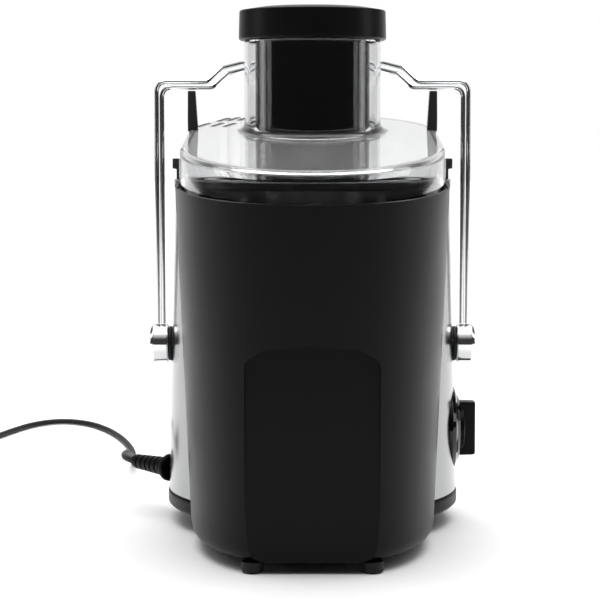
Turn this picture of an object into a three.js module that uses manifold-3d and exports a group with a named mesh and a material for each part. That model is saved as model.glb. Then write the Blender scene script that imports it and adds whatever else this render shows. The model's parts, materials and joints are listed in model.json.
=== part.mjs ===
// A centrifugal juicer: steel motor base, juice bowl and sieve basket, clear lid with feed chute
// and pusher, front pulp bin and a twin-wire locking bail. Millimetres, +Z up, the spout at +Y.
import * as THREE from 'three';
import { mergeVertices } from 'three/addons/utils/BufferGeometryUtils.js';
import Module from 'manifold-3d';

const wasm = await Module();
wasm.setup();

// ---- driving dimensions ----
const GAP = 0.3; // left between pieces that touch
const SPOUT_TIP_Y = 134; // from the motor axis
const BIN_FRONT_Y = -204; // from the motor axis, at the bin's rim
const AXIS_Y = -(SPOUT_TIP_Y + BIN_FRONT_Y) / 2; // puts the origin under the middle of the footprint

const BASE_FOOT = { radius: 9, top: 11.6, reach: 78 };
const RING = { radius: 103.7, bottom: 12, top: 23, wall: 3 };
const SLEEVE = { bottom: 23.3, top: 238, bottomRadius: 102.9, topRadius: 97.5, wall: 1.2 };
const DECK = { z: 160, thickness: 3 };
const SHAFT = { radius: 4, bottom: 34, top: 192 };
const BOWL = { rim: 98.3, inside: 92.6, flangeTop: 244, floor: 178, wall: 2.2, earTop: 258.4 };
const SPOUT = { low: 186, high: 206, halfWidth: 17, drop: 8, rootY: 84 };
const BASKET = { floor: 203, floorRadius: 49, top: 244, topRadius: 80 };
const LID = { halfWidth: 88.6, frontY: -194, topAtAxis: 278.8, slope: 0.13, wall: 2.4, skirt: 229, skirtRise: 12 };
const CHUTE = { radius: 48.3, wall: 3, top: 341.2, bottom: 212 };
const PUSHER = { radius: 40.6, bottom: 214, wall: 2.8, capRadius: 52.2, capBottom: 341.6, capTop: 366 };
const BIN = { bottom: 7.6, rim: 243, rimDrop: 10, wall: 2.3, backRadius: 105.3, midY: -75 };
const BIN_SECTION = { low: { a: 82, b: 121 }, high: { a: 92, b: -75 - BIN_FRONT_Y }, power: 2.15 };
const RECESS = { halfWidth: 42.5, floorY: -183, top: 141 };
const PIVOT = { z: 126, barrelRadius: 14, inner: 103, outer: 116.9, pin: 4.2 };
const WIRE = { radius: 1.72, outerX: 110.8, innerX: 107, outerTop: 312.6, innerTop: 308.8 };
const DIAL = { z: 65, radius: 32, face: 105.4, knobFace: 116.9 };
const CORD = { radius: 2.4, exitX: -102.6, exitY: 8.6, exitZ: 34 };

const paint = {
  steel: [0xb9bcbe, 0.3, 1],
  chrome: [0xe4e6e8, 0.08, 1],
  black: [0x17181a, 0.45, 0],
  gloss: [0x0d0e10, 0.15, 0],
  rubber: [0x1b1b1c, 0.85, 0],
  clear: [0xdfe6ea, 0.05, 0],
  smoke: [0x2a2b2d, 0.3, 0],
  copper: [0xb4683a, 0.4, 1],
  iron: [0x6d7074, 0.5, 1],
  brass: [0xc2a25a, 0.35, 1],
  carbon: [0x2c2c2e, 0.8, 0],
  nylon: [0xd8d6cf, 0.6, 0],
};

const juicer = new THREE.Group();
const aboutAxis = new THREE.Group(); // everything measured from the motor axis
aboutAxis.position.y = AXIS_Y;
juicer.add(aboutAxis);

// ---- geometry helpers ----

// Shared corners merged, empty triangles dropped, faces pointing out.
function tidy(geometry) {
  const bare = new THREE.BufferGeometry();
  bare.setAttribute('position', geometry.getAttribute('position'));
  bare.setIndex(geometry.getIndex());
  const merged = mergeVertices(bare, 1e-4);
  const p = merged.getAttribute('position');
  const index = merged.getIndex().array;
  const corners = [new THREE.Vector3(), new THREE.Vector3(), new THREE.Vector3()];
  const kept = [];
  let volume = 0;
  for (let i = 0; i < index.length; i += 3) {
    const face = [index[i], index[i + 1], index[i + 2]];
    if (new Set(face).size < 3) continue;
    face.forEach((v, k) => corners[k].fromBufferAttribute(p, v));
    volume += corners[0].dot(corners[1].clone().cross(corners[2]));
    kept.push(face);
  }
  if (volume < 0) kept.forEach((face) => face.reverse());
  merged.setIndex(kept.flat());
  return merged;
}

function solid(geometry) {
  const g = tidy(geometry);
  return new wasm.Manifold(new wasm.Mesh({
    numProp: 3,
    vertProperties: new Float32Array(g.getAttribute('position').array),
    triVerts: new Uint32Array(g.getIndex().array),
  }));
}

function surface(body) {
  const mesh = body.getMesh();
  const g = new THREE.BufferGeometry();
  g.setAttribute('position', new THREE.BufferAttribute(new Float32Array(mesh.vertProperties), 3));
  g.setIndex(new THREE.BufferAttribute(new Uint32Array(mesh.triVerts), 1));
  return g;
}

const cut = (from, ...tools) => surface(tools.reduce((s, t) => s.subtract(solid(t)), solid(from)));
const join = (first, ...rest) => surface(rest.reduce((s, t) => s.add(solid(t)), solid(first)));

function add(name, geometry, [color, roughness, metalness], parent = aboutAxis) {
  const material = new THREE.MeshStandardMaterial({ color, roughness, metalness });
  const mesh = new THREE.Mesh(tidy(geometry), material);
  mesh.name = name;
  parent.add(mesh);
  return mesh;
}

// A solid of revolution about Z from [radius, z] points, in order round its section.
function turned(points, segments = 32) {
  const closed = points[0][0] > 0 || points.at(-1)[0] > 0;
  const section = closed ? [...points, points[0]] : points;
  const g = new THREE.LatheGeometry(section.map(([r, z]) => new THREE.Vector2(r, z)), segments);
  return g.rotateX(Math.PI / 2);
}

const disc = (radius, low, high, segments = 32) =>
  turned([[0, low], [radius, low], [radius, high], [0, high]], segments);
const ring = (inner, outer, low, high, segments = 32) =>
  turned([[inner, low], [outer, low], [outer, high], [inner, high]], segments);

function block(x, y, z) {
  const [sx, sy, sz] = [x, y, z].map(([low, high]) => high - low);
  const g = new THREE.BoxGeometry(sx, sy, sz);
  return g.translate(x[0] + sx / 2, y[0] + sy / 2, z[0] + sz / 2);
}

// A prism between two heights over an outline of [x, y] points.
function prism(outline, low, high) {
  const shape = new THREE.Shape(outline.map(([x, y]) => new THREE.Vector2(x, y)));
  const g = new THREE.ExtrudeGeometry(shape, { depth: high - low, bevelEnabled: false });
  return g.translate(0, 0, low);
}

// Skins a stack of rings, each a list of [x, y, z] with the same count, and closes both ends.
function loft(rings) {
  const n = rings[0].length;
  const middle = (r) => [0, 1, 2].map((k) => r.reduce((sum, p) => sum + p[k], 0) / n);
  const points = [...rings.flat(), middle(rings[0]), middle(rings.at(-1))];
  const index = [];
  rings.slice(1).forEach((_, j) => {
    for (let i = 0; i < n; i += 1) {
      const [a, b] = [j * n + i, j * n + ((i + 1) % n)];
      index.push(a, b, b + n, a, b + n, a + n);
    }
  });
  for (let i = 0; i < n; i += 1) {
    const top = (rings.length - 1) * n;
    index.push(rings.length * n, (i + 1) % n, i);
    index.push(rings.length * n + 1, top + i, top + ((i + 1) % n));
  }
  const g = new THREE.BufferGeometry();
  g.setAttribute('position', new THREE.Float32BufferAttribute(points.flat(), 3));
  g.setIndex(index);
  return g;
}

// A round bar along a path whose steps are the given stations, so straight runs cost nothing.
class Stations extends THREE.Curve {
  constructor(points) {
    super();
    this.points = points;
  }

  getPointAt(u, target = new THREE.Vector3()) {
    return target.copy(this.points[Math.round(u * (this.points.length - 1))]);
  }

  getTangentAt(u, target = new THREE.Vector3()) {
    const i = Math.round(u * (this.points.length - 1));
    const before = this.points[Math.max(i - 1, 0)];
    const after = this.points[Math.min(i + 1, this.points.length - 1)];
    return target.subVectors(after, before).normalize();
  }
}

function bar(points, radius, sides = 8) {
  const section = new THREE.Shape().absarc(0, 0, radius, 0, 2 * Math.PI);
  return new THREE.ExtrudeGeometry(section, {
    steps: points.length - 1,
    curveSegments: sides / 2,
    extrudePath: new Stations(points),
  });
}

// Corners rounded to a radius, as a list of stations.
function rounded(corners, radii, stepsPerBend = 4) {
  const out = [corners[0]];
  corners.slice(1, -1).forEach((corner, i) => {
    const toBefore = corners[i].clone().sub(corner).normalize();
    const toAfter = corners[i + 2].clone().sub(corner).normalize();
    const half = toBefore.angleTo(toAfter) / 2;
    const back = radii[i] / Math.tan(half);
    const start = corner.clone().addScaledVector(toBefore, back);
    const end = corner.clone().addScaledVector(toAfter, back);
    const bend = new THREE.QuadraticBezierCurve3(start, corner, end);
    out.push(...bend.getPoints(stepsPerBend));
  });
  return [...out, corners.at(-1)];
}

const alongX = (g) => g.rotateY(Math.PI / 2); // a solid turned about Z now lies along +X
const at = (g, x, y, z) => g.translate(x, y, z);
const mirrored = (g) => g.scale(-1, 1, 1);

// ---- outlines ----

const sleeveRadius = (z) => {
  const t = (z - SLEEVE.bottom) / (SLEEVE.top - SLEEVE.bottom);
  return SLEEVE.bottomRadius + t * (SLEEVE.topRadius - SLEEVE.bottomRadius);
};

// Front half of a superellipse from +X round the front (-Y) to -X.
function frontArc(a, b, midY, power, steps) {
  return Array.from({ length: steps + 1 }, (_, i) => {
    const angle = (Math.PI * i) / steps;
    const [c, s] = [Math.cos(angle), Math.sin(angle)];
    const x = a * Math.sign(c) * Math.abs(c) ** (2 / power);
    return [x, midY - b * Math.abs(s) ** (2 / power)];
  });
}

// The lid in plan: half round over the bowl, long and rounded over the pulp bin.
function lidOutline(inset) {
  const half = LID.halfWidth - inset;
  const front = frontArc(half, BIN.midY - LID.frontY - inset, BIN.midY, 2.1, 24);
  const back = Array.from({ length: 19 }, (_, i) => {
    const angle = Math.PI - (Math.PI * i) / 18;
    return [half * Math.cos(angle), half * Math.sin(angle)];
  });
  return [...front, ...back];
}

const lidTop = (y) => LID.topAtAxis + LID.slope * y;

// The skirt's lower edge follows the bin's rim, which drops towards the front.
const lidSkirt = (y) => {
  const t = (y - LID.frontY) / (BIN.midY - LID.frontY);
  return LID.skirt + LID.skirtRise * Math.min(1, Math.max(0, t));
};

// The bin in plan at a height; its back is cut round afterwards.
function binRing(z, inset, drop = 0) {
  const t = (z - BIN.bottom) / (BIN.rim - BIN.bottom);
  const a = THREE.MathUtils.lerp(BIN_SECTION.low.a, BIN_SECTION.high.a, t) - inset;
  const b = THREE.MathUtils.lerp(BIN_SECTION.low.b, BIN_SECTION.high.b, t) - inset;
  const front = frontArc(a, b, BIN.midY, BIN_SECTION.power, 28);
  const outline = [...front, [-a, -35], [a, -35]];
  const reach = BIN.midY - BIN_FRONT_Y;
  return outline.map(([x, y]) => [x, y, z - drop * Math.max(0, (BIN.midY - y) / reach)]);
}

// ---- motor base ----

function makeBase() {
  const { radius, bottom, top, wall } = RING;
  add('base_ring', turned([
    [radius - 9, bottom], [radius - 1, bottom], [radius, bottom + 3], [radius, top - 1.5],
    [radius - 1, top], [98, top], [98, top - wall], [radius - 9, top - wall],
  ], 44), paint.black);
  add('bottom_plate', disc(radius - 9.5, bottom, bottom + 3), paint.black);
  [45, 135, 225, 315].forEach((degrees, i) => {
    const angle = THREE.MathUtils.degToRad(degrees);
    const { radius: r, top: high, reach } = BASE_FOOT;
    const foot = turned([[0, 0], [r - 2, 0], [r, 3], [r, high], [0, high]], 16);
    add(`base_foot_${i + 1}`, at(foot, reach * Math.cos(angle), reach * Math.sin(angle), 0), paint.rubber);
  });
  const outer = [[SLEEVE.bottomRadius, SLEEVE.bottom], [SLEEVE.topRadius, SLEEVE.top]];
  const inner = outer.map(([r, z]) => [r - SLEEVE.wall, z]).reverse();
  const spoutNotch = block([-21, 21], [60, 120], [SPOUT.low - 4, SLEEVE.top + 5]);
  const pinHole = at(alongX(disc(PIVOT.pin + GAP, -130, 130, 16)), 0, 0, PIVOT.z);
  const dialHole = at(alongX(disc(7, 60, 130, 16)), 0, 0, DIAL.z);
  const cordHole = at(alongX(disc(CORD.radius + 5, -130, -60, 16)), 0, 0, CORD.exitZ);
  const sleeve = cut(turned([...outer, ...inner], 40), spoutNotch, pinHole, dialHole, cordHole);
  add('steel_body', sleeve, paint.steel);
  add('motor_deck', ring(SHAFT.radius + 9, 96, DECK.z, DECK.z + DECK.thickness), paint.black);
}

function makeMotor() {
  const lamination = ring(28, 42, 78, 118, 16);
  add('motor_stator', lamination, paint.iron);
  add('winding_front', ring(29, 40, 66, 77.6, 16), paint.copper);
  add('winding_rear', ring(29, 40, 118.4, 130, 16), paint.copper);
  add('rotor_core', ring(SHAFT.radius + GAP, 26, 80, 116, 16), paint.iron);
  add('motor_shaft', disc(SHAFT.radius, SHAFT.bottom, SHAFT.top, 16), paint.steel);
  add('commutator', ring(SHAFT.radius + GAP, 11, 119, 133, 16), paint.copper);
  add('cooling_fan', ring(SHAFT.radius + GAP, 34, 52, 58, 16), paint.nylon);
  add('lower_bearing', ring(SHAFT.radius + GAP, 10, 36, 43, 16), paint.steel);
  add('upper_bearing', ring(SHAFT.radius + GAP, 10, 144, 151, 16), paint.steel);
  add('lower_bracket', ring(10 + GAP, 30, 36, 42, 16), paint.iron);
  add('upper_bracket', ring(10 + GAP, 48, 144, 151, 16), paint.iron);
  const brush = () => block([-3, 3], [11.4, 24], [122, 130]);
  add('brush_front', brush().rotateZ(Math.PI), paint.carbon);
  add('brush_rear', brush(), paint.carbon);
  add('shaft_seal', ring(SHAFT.radius + GAP, SHAFT.radius + 8.6, DECK.z, DECK.z + 4, 16), paint.rubber);
  add('speed_switch', block([60, 84], [-12, 12], [DIAL.z - 14, DIAL.z + 14]), paint.black);
}

function makeDial() {
  const dome = turned([[0, 92], [DIAL.radius, 92], [DIAL.radius, 99.5], [29, 102.6], [22, 104.6],
    [12, DIAL.face], [0, DIAL.face]], 32);
  const plate = at(alongX(dome), 0, 0, DIAL.z);
  const body = turned([[0, 20], [sleeveRadius(20) + GAP, 20], [sleeveRadius(110) + GAP, 110], [0, 110]], 40);
  const spindleHole = at(alongX(disc(4 + GAP, 80, 120, 16)), 0, 0, DIAL.z);
  add('dial_plate', cut(plate, body, spindleHole), paint.gloss);
  const start = DIAL.face + GAP;
  const grip = block([start, DIAL.knobFace], [-6.5, 6.5], [DIAL.z - 19.6, DIAL.z + 19.6]);
  const face = at(alongX(disc(16, start, start + 3, 32)), 0, 0, DIAL.z);
  const spindle = at(alongX(disc(4, 84 + GAP, start + 1, 16)), 0, 0, DIAL.z);
  add('dial_knob', join(face, grip, spindle), paint.black);
}

// ---- juice bowl, sieve and lid ----

function makeBowl() {
  const { rim, inside, flangeTop, floor, wall, earTop } = BOWL;
  const bowl = turned([
    [13, floor], [88, floor], [inside + wall, floor + 8], [inside + wall, SLEEVE.top + GAP],
    [rim, SLEEVE.top + GAP], [rim, flangeTop], [inside, flangeTop], [inside, floor + 9.4],
    [87, floor + wall], [19, floor + wall], [19, 194], [16, 194], [16, floor + wall], [13, floor + wall],
  ], 44);
  const spoutRing = (y, grow) => {
    const lower = SPOUT.drop * ((y - SPOUT.rootY) / (SPOUT_TIP_Y - SPOUT.rootY));
    const half = SPOUT.halfWidth + grow;
    return [[-half, SPOUT.low - grow], [half, SPOUT.low - grow], [half, SPOUT.high + grow],
      [-half, SPOUT.high + grow]].map(([x, z]) => [x, y, z - lower]);
  };
  const spout = loft([spoutRing(SPOUT.rootY + 4, 0), spoutRing(SPOUT_TIP_Y, 0)]);
  const way = loft([spoutRing(SPOUT.rootY - 4, -wall), spoutRing(SPOUT_TIP_Y + 5, -wall)]);
  const ears = [-1, 1].map((side) => {
    const xs = [94.2, 97.6].map((x) => x * side).sort((a, b) => a - b);
    return block(xs, [-9, 9], [flangeTop - 1, earTop]);
  });
  add('juice_bowl', cut(join(bowl, spout, ...ears), way), paint.smoke);
}

function makeSieve() {
  const { floor, floorRadius, top, topRadius } = BASKET;
  add('drive_coupling', turned([[SHAFT.radius + GAP, 182], [12, 182], [12, 197], [0, 197], [0, 192.5],
    [SHAFT.radius + GAP, 192.5]], 16), paint.nylon);
  add('grater_disc', turned([[0, 197.4], [20, 197.4], [floorRadius - 4, floor - 1], [floorRadius - 4, floor],
    [0, floor]], 32), paint.steel);
  add('sieve_wall', turned([[floorRadius - 3.6, floor - 1], [floorRadius, floor - 1],
    [topRadius - 4, top - 3.4], [topRadius - 5.4, top - 3.4], [floorRadius - 1.4, floor + 0.6],
    [floorRadius - 3.6, floor + 0.6]], 36), paint.steel);
  add('sieve_rim', ring(topRadius - 9, topRadius, top - 3, top, 36), paint.smoke);
}

function makeLid() {
  const edge = (inset, down) => lidOutline(inset).map(([x, y]) => [x, y, lidSkirt(y) - down]);
  const sloped = (inset, down) => lidOutline(inset).map(([x, y]) => [x, y, lidTop(y) - down]);
  const outer = loft([edge(0, 0), sloped(0, 6), sloped(1, 2.4), sloped(3.6, 0.6), sloped(7, 0)]);
  const w = LID.wall;
  const inner = loft([
    edge(w, 2), sloped(w, 7), sloped(w + 3, w + 0.6),
    sloped(w + 6, w),
  ]);
  const overBowl = disc(101, 200, BOWL.flangeTop + 0.5, 44);
  const behind = block([-120, 120], [-52, 120], [200, BOWL.flangeTop + 0.5]);
  const chute = disc(CHUTE.radius, CHUTE.bottom, CHUTE.top, 40);
  const feed = disc(CHUTE.radius - CHUTE.wall, CHUTE.bottom - 10, CHUTE.top + 10, 40);
  const lugs = [-1, 1].map((side) => {
    const outline = [[82.5, 262], [88.4, 262], [88.4, 290], [87.9, 306], [83.4, 306], [82.5, 290]];
    const lug = prism(outline, -4, 4).rotateX(Math.PI / 2);
    return side > 0 ? lug : mirrored(lug);
  });
  const vents = [[-79, 26], [-69, 28], [-60, 27], [-66, 57], [-58.5, 61], [-51, 63]];
  const slots = vents.map(([x, y]) => {
    const slot = block([-1.4, 1.4], [-11, 11], [240, 310]);
    return at(slot.rotateZ(THREE.MathUtils.degToRad(-20)), x, y, 0);
  });
  const shell = cut(outer, inner, overBowl, behind);
  add('lid', cut(join(shell, chute, ...lugs), feed, ...slots), paint.clear);
}

function makePusher() {
  const { radius, bottom, wall, capRadius, capBottom, capTop } = PUSHER;
  add('pusher_body', turned([[0, bottom], [radius - 1.5, bottom], [radius, bottom + 1.5],
    [radius, capBottom - GAP], [radius - wall, capBottom - GAP], [radius - wall, bottom + wall],
    [0, bottom + wall]], 40), paint.gloss);
  add('pusher_cap', turned([[0, capBottom], [capRadius - 1.6, capBottom], [capRadius, capBottom + 1],
    [capRadius - 0.4, 360.6], [capRadius - 2, 362.6], [38, 364.4], [20, 365.6], [0, capTop]], 32), paint.black);
}

// ---- pulp bin ----

function makeBin() {
  const low = BIN.bottom;
  const outer = loft([binRing(low, 4), binRing(low + 4, 0.6), binRing(low + 12, 0),
    binRing(BIN.rim, 0, BIN.rimDrop)]);
  const w = BIN.wall;
  const inner = loft([binRing(low + w + 1, w + 4), binRing(low + 12, w), binRing(BIN.rim, w, BIN.rimDrop),
    binRing(BIN.rim + 20, w)]);
  const bodySpace = disc(BIN.backRadius, 0, 300, 56);
  const backWall = disc(BIN.backRadius + w, 0, 300, 56);
  const underLid = block([-89.2, 89.2], [-110, 0], [LID.skirt - 4, 260]);
  const shell = solid(outer).subtract(solid(inner).subtract(solid(backWall)));
  const hollowBack = shell.subtract(solid(bodySpace)).subtract(solid(underLid));
  const { halfWidth, floorY, top } = RECESS;
  const arch = (grow) => {
    const half = halfWidth + grow;
    const up = top + grow;
    return [[-half, -5], [half, -5], [half, up - 14], [half - 4, up - 5], [half - 14, up + 1],
      [half - 28, up + 4], [0, up + 5], [28 - half, up + 4], [14 - half, up + 1], [4 - half, up - 5],
      [-half, up - 14]];
  };
  const across = (grow, from, to) => {
    const g = prism(arch(grow), 0, to - from);
    return at(g.rotateX(Math.PI / 2), 0, to, 0);
  };
  const pocket = solid(across(w, BIN_FRONT_Y - 10, floorY + w)).intersect(solid(outer));
  const walled = hollowBack.add(pocket.subtract(solid(across(0, BIN_FRONT_Y - 20, floorY))));
  const bin = walled.subtract(solid(across(0, BIN_FRONT_Y - 20, floorY)));
  add('pulp_bin', surface(bin), paint.black);
  [[-38, -175.5], [38, -175.5], [-52, -122], [52, -122]].forEach(([x, y], i) => {
    add(`bin_foot_${i + 1}`, at(disc(7, 0, low - GAP, 16), x, y, 0), paint.rubber);
  });
}

// ---- locking bail ----

function makeBail() {
  const wire = (x, top, rise) => {
    const kinkX = x - 36;
    const right = [[x, 0, PIVOT.z + PIVOT.barrelRadius + GAP], [x, 0, top], [kinkX, 0, top],
      [kinkX - 9, 19, top + rise * 0.66], [kinkX - 22, 42, top + rise * 0.95], [38, 60, top + rise]];
    const left = right.map(([px, py, pz]) => [-px, py, pz]).reverse();
    const corners = [...right, ...left].map((p) => new THREE.Vector3(...p));
    const bends = [8, 5, 14, 24, 20, 20, 24, 14, 5, 8];
    return bar(rounded(corners, bends, 3), WIRE.radius);
  };
  add('bail_wire_outer', wire(WIRE.outerX, WIRE.outerTop, 15), paint.chrome);
  add('bail_wire_inner', wire(WIRE.innerX, WIRE.innerTop, 14.6), paint.chrome);
  [['left', -1], ['right', 1]].forEach(([side, sign]) => {
    const r = PIVOT.barrelRadius;
    const barrel = turned([[PIVOT.pin + GAP, PIVOT.inner], [r - 1, PIVOT.inner], [r, PIVOT.inner + 1],
      [r, PIVOT.outer - 3], [r - 2, PIVOT.outer - 1], [r - 6, PIVOT.outer], [0, PIVOT.outer],
      [0, PIVOT.outer - 4], [PIVOT.pin + GAP, PIVOT.outer - 4]], 24);
    const washer = ring(PIVOT.pin + GAP, 12.5, PIVOT.inner - 2.3, PIVOT.inner - GAP, 24);
    const pin = turned([[0, 93], [7, 93], [7, 97], [PIVOT.pin, 97], [PIVOT.pin, PIVOT.outer - 4.5],
      [0, PIVOT.outer - 4.5]], 16);
    [['barrel', barrel, paint.chrome], ['washer', washer, paint.rubber],
      ['pin', pin, paint.steel]].forEach(([name, g, look]) => {
      const lying = at(alongX(g), 0, 0, PIVOT.z);
      add(`pivot_${name}_${side}`, sign > 0 ? lying : mirrored(lying), look);
    });
  });
}

// ---- mains cord ----

// From the boot down to the table, away behind and round to the coil; laid by hand.
const ROUTE = [
  [-131.6, 37.6, 34], [-136, 43, 34.1], [-140, 52, 34], [-142.5, 66, 33.2], [-143.5, 84, 31.6],
  [-144, 104, 28.6], [-144.5, 128, 23.6], [-145.5, 152, 17.4], [-147, 178, 10.8], [-149, 204, 5.8],
  [-151.5, 232, 3.2], [-155, 262, 2.8], [-161, 292, 2.8], [-168.5, 322, 2.8], [-178, 352, 2.8],
  [-190, 382, 2.8], [-207, 412, 2.8], [-228, 430, 2.8], [-248, 428, 2.8], [-264, 408, 2.8],
  [-276, 376, 2.8], [-286, 340, 2.8], [-296, 303, 2.8], [-302, 278.6, 2.8],
];
const COIL = { middle: [-333, 262], turnRadius: 27, halfHigh: 5, halfWide: 5 };

function makeCord() {
  const flange = turned([[CORD.radius + 2.4, 0], [10, 0], [10, 3.4], [7.4, 5], [6.8, 10], [6.4, 20],
    [5.6, 30], [4.6, 41], [CORD.radius + GAP, 41], [CORD.radius + GAP, 6], [CORD.radius + 2.4, 6]], 16);
  const boot = flange.rotateX(-Math.PI / 2).rotateZ(Math.PI / 4);
  at(boot, CORD.exitX, CORD.exitY, CORD.exitZ);
  const body = disc(SLEEVE.bottomRadius + 1.5, 10, 60, 40);
  add('strain_relief', cut(boot, body), paint.black);
  const path = new THREE.CatmullRomCurve3(ROUTE.map((p) => new THREE.Vector3(...p)));
  const section = new THREE.Shape().absarc(0, 0, CORD.radius, 0, 2 * Math.PI);
  const lead = new THREE.ExtrudeGeometry(section, { steps: 52, curveSegments: 4, extrudePath: path });
  add('power_cord', lead, paint.rubber);
  const { middle, turnRadius, halfHigh, halfWide } = COIL;
  const coil = ring(turnRadius - halfWide, turnRadius + halfWide, 0.2, 2 * halfHigh + 0.2, 32);
  add('cord_coil', at(coil, ...middle, 0), paint.rubber);
  const tieX = middle[0] - turnRadius;
  const tie = cut(block([-7.2, 7.2], [-3, 3], [0.2, 12.2]), block([-6, 6], [-5, 5], [-2, 11]));
  add('cord_tie', at(tie, tieX, middle[1], 0), paint.rubber);
  const plug = loft([[5, 0], [11, 3], [13, 14], [12, 26]].map(([half, y]) => {
    const high = 0.55 * half + 2.2;
    return [[-half, y, 0.2], [half, y, 0.2], [half, y, 2 * high], [-half, y, 2 * high]];
  }));
  const [plugX, plugY] = [middle[0] + turnRadius, middle[1] - turnRadius + 1]; // where the coil's end points
  add('plug_body', at(plug.rotateZ(Math.PI), plugX, plugY, 0), paint.rubber);
  [-6.35, 6.35].forEach((x, i) => {
    const blade = block([x - 0.75, x + 0.75], [-42, -26 - GAP], [5.2, 11.4]);
    add(`plug_blade_${i + 1}`, at(blade, plugX, plugY, 0), paint.brass);
  });
}

makeBase();
makeMotor();
makeDial();
makeBowl();
makeSieve();
makeLid();
makePusher();
makeBin();
makeBail();
makeCord();

export default juicer;
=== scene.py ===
"""The looks of a centrifugal juicer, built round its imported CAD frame. Lengths are in millimetres
until a mesh is made, and heights and depths are measured from the table and the motor's axis."""

import json
import math

import bmesh
import bpy
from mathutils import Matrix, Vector


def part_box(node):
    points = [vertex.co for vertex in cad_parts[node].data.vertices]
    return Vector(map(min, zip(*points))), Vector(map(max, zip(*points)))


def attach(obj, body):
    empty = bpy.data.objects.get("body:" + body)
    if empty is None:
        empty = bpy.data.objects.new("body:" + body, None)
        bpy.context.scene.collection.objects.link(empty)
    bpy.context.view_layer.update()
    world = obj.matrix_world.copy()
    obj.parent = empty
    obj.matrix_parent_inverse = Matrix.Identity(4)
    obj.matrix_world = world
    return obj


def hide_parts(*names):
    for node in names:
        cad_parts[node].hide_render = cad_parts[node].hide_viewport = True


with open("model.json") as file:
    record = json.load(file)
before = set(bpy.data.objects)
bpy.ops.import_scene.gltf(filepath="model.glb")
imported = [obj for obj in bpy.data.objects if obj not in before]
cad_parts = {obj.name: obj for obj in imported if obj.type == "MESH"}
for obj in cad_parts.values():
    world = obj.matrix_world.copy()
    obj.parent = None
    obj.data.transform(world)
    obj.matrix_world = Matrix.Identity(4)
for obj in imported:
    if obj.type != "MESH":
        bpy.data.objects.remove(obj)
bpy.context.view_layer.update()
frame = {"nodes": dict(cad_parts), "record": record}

MM = 0.001
low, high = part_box("steel_body")
AXIS_Y = (low.y + high.y) / 2 / MM  # the motor's axis
SMOOTH_ANGLE = math.radians(32)


def box_mm(node):
    """A CAD node's corners in millimetres from the motor's axis."""
    a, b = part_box(node)
    shift = Vector((0, AXIS_Y, 0))
    return a / MM - shift, b / MM - shift


# ---- camera ----

CAMERA_DISTANCE, CAMERA_HEIGHT = 1.357, 0.2785  # metres from the motor's axis and the table
CAMERA_TILT = 5.11  # degrees below level
LENS, SENSOR_WIDTH, SHIFT_X = 114, 36, -0.0208


def make_camera():
    """A long lens level with the lid's top, looking slightly down."""
    data = bpy.data.cameras.new("camera")
    data.lens = LENS
    data.sensor_width = SENSOR_WIDTH
    data.shift_x = SHIFT_X
    camera = bpy.data.objects.new("camera", data)
    camera.location = (0, AXIS_Y * MM - CAMERA_DISTANCE, CAMERA_HEIGHT)
    camera.rotation_euler = (math.radians(90 - CAMERA_TILT), 0, 0)
    bpy.context.scene.collection.objects.link(camera)
    bpy.context.scene.camera = camera


make_camera()


# ---- meshes ----

def mesh_piece(name, points, faces):
    """A mesh object from points in millimetres about the motor's axis."""
    mesh = bpy.data.meshes.new(name)
    mesh.from_pydata([(x * MM, (y + AXIS_Y) * MM, z * MM) for x, y, z in points], [], faces)
    mesh.validate()
    piece = bpy.data.objects.new(name, mesh)
    bpy.context.scene.collection.objects.link(piece)
    face_out(mesh)
    return piece


def face_out(mesh):
    """Merges doubled points and turns the faces outwards."""
    work = bmesh.new()
    work.from_mesh(mesh)
    bmesh.ops.remove_doubles(work, verts=work.verts, dist=1e-7)
    bmesh.ops.recalc_face_normals(work, faces=work.faces)
    work.to_mesh(mesh)
    work.free()


def shade(piece, angle):
    """Smooth shading that keeps edges sharper than an angle."""
    mesh = piece.data
    mesh.polygons.foreach_set("use_smooth", [True] * len(mesh.polygons))
    mesh.set_sharp_from_angle(angle=angle)
    normals = piece.modifiers.new("normals", "WEIGHTED_NORMAL")
    normals.keep_sharp = True


def rounded(points, radius, steps=4, closed=True):
    """A 2-D outline with its corners rounded; radius is one number or one for each corner."""
    count = len(points)
    radii = radius if isinstance(radius, (list, tuple)) else [radius] * count
    out = []
    for i, p in enumerate(points):
        if not closed and i in (0, count - 1) or radii[i] <= 0:
            out.append(tuple(p))
            continue
        corner = Vector(p)
        before, after = Vector(points[i - 1]), Vector(points[(i + 1) % count])
        back, ahead = before - corner, after - corner
        half = back.angle(ahead) / 2
        if half > math.radians(89.5):
            out.append(tuple(p))
            continue
        reach = min(radii[i] / math.tan(half), back.length * 0.49, ahead.length * 0.49)
        start, end = corner + back.normalized() * reach, corner + ahead.normalized() * reach
        for k in range(steps + 1):
            t = k / steps
            q = start * (1 - t) ** 2 + corner * 2 * t * (1 - t) + end * t ** 2
            out.append(tuple(q))
    return out


def grid_faces(rows, columns, wrap_rows=False):
    """Quads over rows of points that close on themselves."""
    last = rows if wrap_rows else rows - 1
    faces = []
    for j in range(last):
        for i in range(columns):
            a, b = j * columns + i, j * columns + (i + 1) % columns
            shift = ((j + 1) % rows) * columns - j * columns
            faces.append((a, b, b + shift, a + shift))
    return faces


def turned(name, profile, segments=128, closed=True, along="z", centre=(0, 0, 0)):
    """A solid of revolution from (radius, height) points; closed profiles make rings."""
    points = []
    for r, h in profile:
        for i in range(segments):
            angle = 2 * math.pi * i / segments
            x, y, z = r * math.cos(angle), r * math.sin(angle), h
            if along == "x":
                x, y, z = h, r * math.cos(angle), r * math.sin(angle)
            points.append((x + centre[0], y + centre[1], z + centre[2]))
    faces = grid_faces(len(profile), segments, wrap_rows=closed)
    if not closed:
        faces.append(tuple(range(segments)))
        faces.append(tuple(range((len(profile) - 1) * segments, len(profile) * segments)))
    return mesh_piece(name, points, faces)


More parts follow.
